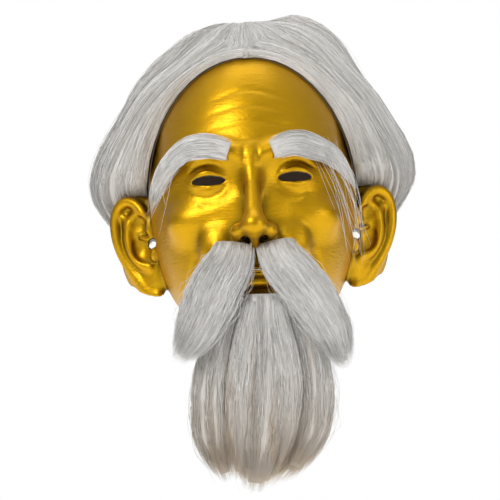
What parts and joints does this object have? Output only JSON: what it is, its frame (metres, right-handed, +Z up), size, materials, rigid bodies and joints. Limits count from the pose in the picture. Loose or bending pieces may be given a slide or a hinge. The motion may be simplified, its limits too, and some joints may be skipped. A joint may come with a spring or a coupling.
{
  "type": "old sage costume mask",
  "caption": "Gold latex face mask of an old sage with ears, sewn white wig, glued brows, parted moustache, long hinged beard and elastic head strap.",
  "frame": {"origin": "middle of the wearer's head, level with the ear canals", "axes": "+Z up, the face looks along -Y, +X to the right seen from the front"},
  "size_m": [0.2597, 0.2543, 0.3899],
  "materials": {
    "gold_latex": "moulded latex under satin gold paint",
    "wig_net": "fine stretch net, dark brown",
    "binding_elastic": "folded elastic tape",
    "weft_tape": "machine-sewn weft",
    "hairline_tape": "thin dark glued tape",
    "crown_hair": "long combed synthetic fibre, white with grey shadow",
    "side_hair": "long combed synthetic fibre, white with grey shadow",
    "back_hair": "long combed synthetic fibre, white with grey shadow",
    "brow_hair": "long combed synthetic fibre, white with grey shadow",
    "moustache_hair": "long combed synthetic fibre, white with grey shadow",
    "beard_hair": "long combed synthetic fibre, white with grey shadow",
    "under_hair": "tan and cream synthetic fibre",
    "backing_cloth": "tan woven gauze",
    "strap_elastic": "ribbed woven elastic, off white",
    "rivet_brass": "bright tubular rivet"
  },
  "bodies": {
    "mask": {"back_hair_left": "back_hair", "back_hair_right": "back_hair", "beard_backing": "backing_cloth", "cap_binding": "binding_elastic", "chin_hair": "beard_hair", "crown_hair_left": "crown_hair", "crown_hair_right": "crown_hair", "eyebrow_backing_left": "backing_cloth", "eyebrow_backing_right": "backing_cloth", "eyebrow_left": "brow_hair", "eyebrow_right": "brow_hair", "face_shell": "gold_latex", "hairline_tape": "hairline_tape", "moustache_backing_left": "backing_cloth", "moustache_backing_right": "backing_cloth", "rivet_washer_left": "rivet_brass", "rivet_washer_right": "rivet_brass", "side_hair_left": "side_hair", "side_hair_right": "side_hair", "strap_rivet_left": "rivet_brass", "strap_rivet_right": "rivet_brass", "weft_track_1": "weft_tape", "weft_track_2": "weft_tape", "weft_track_3": "weft_tape", "weft_track_4": "weft_tape", "weft_track_5": "weft_tape", "wig_cap": "wig_net"},
    "strap": {"head_strap": "strap_elastic"},
    "beard": {"beard_left": "beard_hair", "beard_centre": "beard_hair", "beard_right": "beard_hair", "beard_under_hair": "under_hair"},
    "moustache_left_wing": {"moustache_left": "moustache_hair"},
    "moustache_right_wing": {"moustache_right": "moustache_hair"}
  },
  "joints": [
    {"name": "strap_swing", "type": "hinge", "parent": "mask", "child": "strap", "pos_m": [0, 0.02, -0.021], "axis": [1, 0, 0], "range_deg": [-55, 8]},
    {"name": "beard_swing", "type": "hinge", "parent": "mask", "child": "beard", "pos_m": [0, -0.0974, -0.102], "axis": [1, 0, 0], "range_deg": [-10, 30]},
    {"name": "moustache_left_lift", "type": "hinge", "parent": "mask", "child": "moustache_left_wing", "pos_m": [-0.01, -0.106, -0.038], "axis": [-1, 0, 0], "range_deg": [0, 45]},
    {"name": "moustache_right_lift", "type": "hinge", "parent": "mask", "child": "moustache_right_wing", "pos_m": [0.01, -0.106, -0.038], "axis": [-1, 0, 0], "range_deg": [0, 45]}
  ]
}
